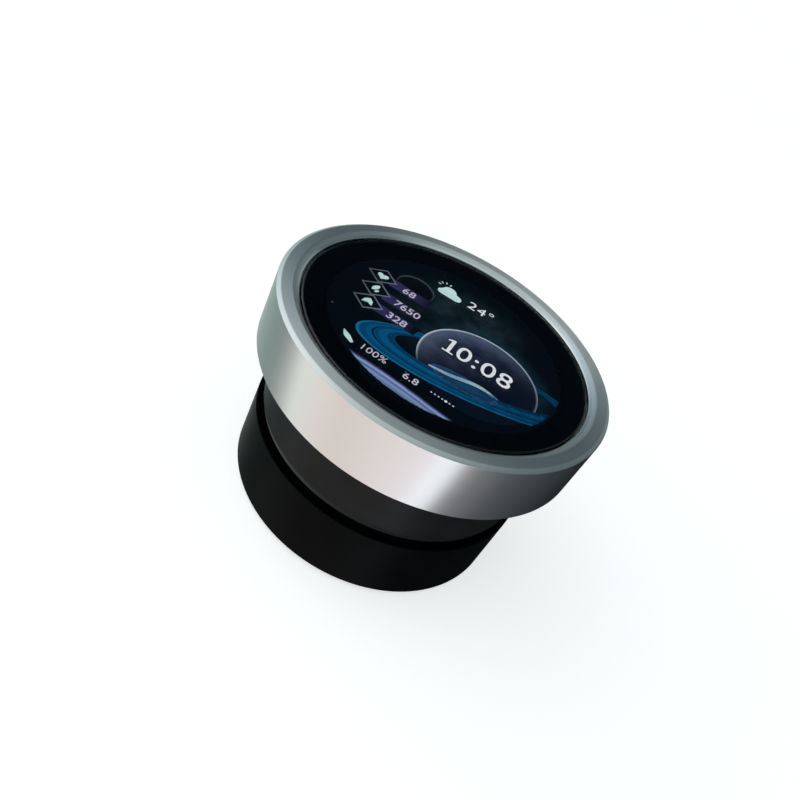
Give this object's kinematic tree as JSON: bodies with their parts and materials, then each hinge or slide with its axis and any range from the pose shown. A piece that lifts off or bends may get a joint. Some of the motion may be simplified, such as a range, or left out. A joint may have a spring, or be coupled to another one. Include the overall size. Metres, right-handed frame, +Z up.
{
  "type": "smart display",
  "caption": "Desktop smart display: a round touch screen inside an aluminium ring that turns and pushes, on a grey collar and a black drum base with a cable socket.",
  "frame": {"origin": "centre of the foot, on the surface that the display stands on", "axes": "+Z up through the knob's axis, +X to the right of the picture on the screen, +Y towards the top of the picture; the cable socket is at the back, on +Y"},
  "size_m": [0.079, 0.079, 0.051],
  "materials": {
    "turned_aluminium": "fine circular brushing, clear anodised",
    "grey_collar": "satin dark grey",
    "gloss_black": "polished black",
    "satin_black": "satin black",
    "carrier_black": "moulded black",
    "cover_glass": "clear, polished edge",
    "clear_adhesive": "clear",
    "lcd_panel": "dark glass",
    "black_tape": "black foam tape",
    "light_guide": "clear acrylic",
    "stamped_steel": "stamped, nickel plated",
    "screw_steel": "zinc plated",
    "spring_steel": "drawn wire",
    "shaft_steel": "ground",
    "bush_bronze": "sintered bronze",
    "white_acetal": "moulded acetal",
    "board_laminate": "solder mask",
    "socket_plastic": "moulded ivory",
    "black_plastic": "moulded black",
    "switch_plunger": "moulded",
    "flexible_circuit": "polyimide film",
    "battery_film": "laminated foil",
    "wire_cover": "PVC",
    "rubber_foot": "moulded"
  },
  "bodies": {
    "base": {"base_shell": "satin_black", "bottom_cover": "satin_black", "foot_ring": "rubber_foot", "main_board": "board_laminate", "radio_module": "board_laminate", "radio_shield": "stamped_steel", "ribbon_socket_lower": "socket_plastic", "battery_socket": "socket_plastic", "cable_socket": "stamped_steel", "socket_tongue": "black_plastic", "battery_tape": "black_tape", "battery_cell": "battery_film", "battery_lead": "wire_cover", "neck": "gloss_black", "guide_bushes": "bush_bronze", "return_springs": "spring_steel", "display_ribbon": "flexible_circuit", "cover_screws": "screw_steel", "neck_screws": "screw_steel", "board_screws": "screw_steel"},
    "head": {"skirt": "grey_collar", "carrier": "carrier_black", "cover_glass": "cover_glass", "glass_tape": "black_tape", "optical_adhesive": "clear_adhesive", "display_panel": "lcd_panel", "backlight_frame": "stamped_steel", "light_guide": "light_guide", "display_board": "board_laminate", "panel_tail": "flexible_circuit", "ribbon_socket_upper": "socket_plastic", "switch_case": "black_plastic", "encoder_case": "black_plastic", "glide_ring": "white_acetal", "upper_washer": "white_acetal", "lower_washer": "white_acetal", "shoulder_screws": "screw_steel", "carrier_screws": "screw_steel", "display_screws": "screw_steel"},
    "ring": {"knob_ring": "turned_aluminium", "ring_gear": "white_acetal"},
    "encoder_rotor": {"encoder_pinion": "white_acetal", "encoder_shaft": "shaft_steel"},
    "plunger": {"switch_plunger": "switch_plunger"}
  },
  "joints": [
    {"name": "head_press", "type": "slide", "parent": "base", "child": "head", "axis": [0, 0, -1], "range_m": [0, 0.0008], "stiffness_N_per_m": 2500, "springref_m": -0.001, "deforming": ["return_springs", "display_ribbon"]},
    {"name": "ring_turn", "type": "hinge", "parent": "head", "child": "ring", "pos_m": [0, 0, 0.0434], "axis": [0, 0, 1], "continuous": true},
    {"name": "encoder_turn", "type": "hinge", "parent": "head", "child": "encoder_rotor", "pos_m": [0.02494, 0, 0.0386], "axis": [0, 0, 1], "continuous": true},
    {"name": "plunger_press", "type": "slide", "parent": "head", "child": "plunger", "axis": [0, 0, 1], "range_m": [0, 0.0008]}
  ],
  "couplings": [
    {"joint": "encoder_turn", "follows": "ring_turn", "ratio": 6},
    {"joint": "plunger_press", "follows": "head_press", "ratio": 1}
  ]
}
